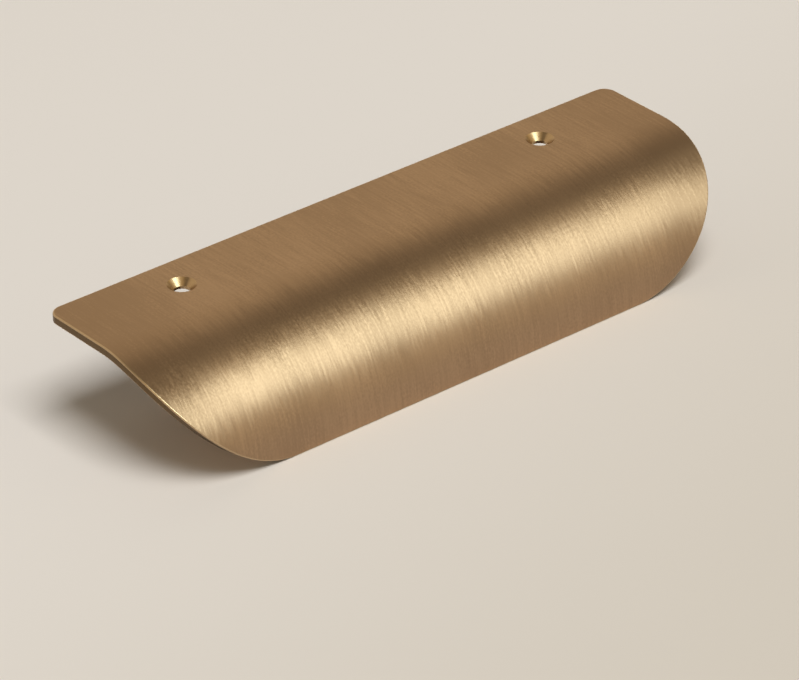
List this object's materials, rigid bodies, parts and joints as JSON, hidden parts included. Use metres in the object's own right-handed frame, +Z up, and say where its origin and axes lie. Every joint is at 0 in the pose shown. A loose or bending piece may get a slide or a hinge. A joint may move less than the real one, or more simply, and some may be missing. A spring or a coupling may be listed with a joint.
{
  "type": "cabinet pull",
  "caption": "Quarter-round shell pull bent from brushed brass sheet, with rounded lip corners and a flat flange with countersunk screw holes for the top edge of a drawer or door front.",
  "frame": {"origin": "on the underside of the mounting flange, midway between the screw holes", "axes": "+X along the pull, -Y towards the hand that opens the drawer, +Z up out of the flange"},
  "size_m": [0.15, 0.043, 0.025],
  "materials": {
    "brushed_brass": "satin, with a fine grain brushed across the length and round the bend"
  },
  "bodies": {
    "root": {"shell_pull": "brushed_brass"}
  },
  "joints": []
}
